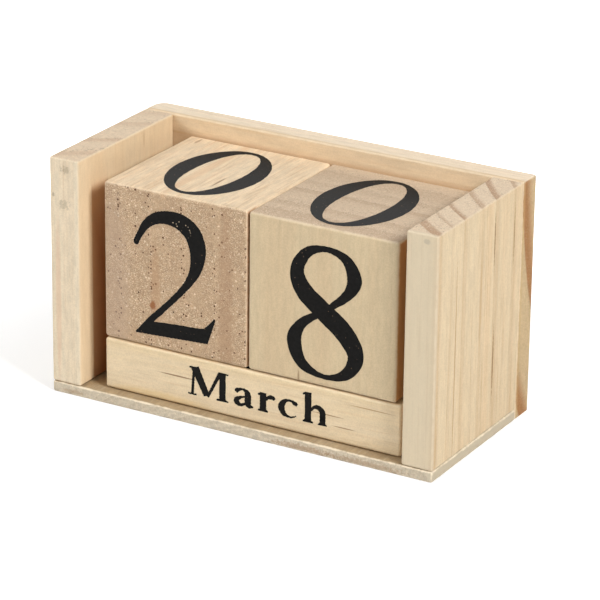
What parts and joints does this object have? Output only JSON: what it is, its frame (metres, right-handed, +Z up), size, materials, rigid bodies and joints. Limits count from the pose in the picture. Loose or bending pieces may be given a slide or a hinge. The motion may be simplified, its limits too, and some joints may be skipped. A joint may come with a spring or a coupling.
{
  "type": "perpetual desk calendar",
  "caption": "Wooden perpetual desk calendar: an open tray with loose number cubes for the day standing on square bars for the month.",
  "frame": {"origin": "middle of the footprint, on the surface that the calendar stands on", "axes": "+X to the right along the tray's width, +Y to the back board, +Z up; the numbers face -Y"},
  "size_m": [0.095, 0.045, 0.055],
  "materials": {
    "tray_pine": "bare sanded pine, matt",
    "tens_cube_wood": "bare sanded wood, pinkish, matt",
    "units_cube_wood": "bare sanded wood, cream, matt",
    "bar_pine": "bare sanded pine, matt"
  },
  "bodies": {
    "tray": {"back_board": "tray_pine", "base_board": "tray_pine", "left_side_board": "tray_pine", "right_side_board": "tray_pine"},
    "cube_tens": {"day_cube_tens": "tens_cube_wood"},
    "cube_units": {"day_cube_units": "units_cube_wood"},
    "bar_rear": {"month_bar_rear": "bar_pine"},
    "bar_middle": {"month_bar_middle": "bar_pine"},
    "bar_front": {"month_bar_front": "bar_pine"}
  },
  "joints": [
    {"name": "cube_tens_lift", "type": "slide", "parent": "tray", "child": "cube_tens", "axis": [0, 0, 1], "range_m": [0, 0.045]},
    {"name": "cube_units_lift", "type": "slide", "parent": "tray", "child": "cube_units", "axis": [0, 0, 1], "range_m": [0, 0.045]},
    {"name": "bar_rear_draw", "type": "slide", "parent": "tray", "child": "bar_rear", "axis": [0, -1, 0], "range_m": [0, 0.041]},
    {"name": "bar_middle_draw", "type": "slide", "parent": "bar_rear", "child": "bar_middle", "axis": [0, -1, 0], "range_m": [0, 0.029]},
    {"name": "bar_front_draw", "type": "slide", "parent": "bar_middle", "child": "bar_front", "axis": [0, -1, 0], "range_m": [0, 0.017]}
  ]
}
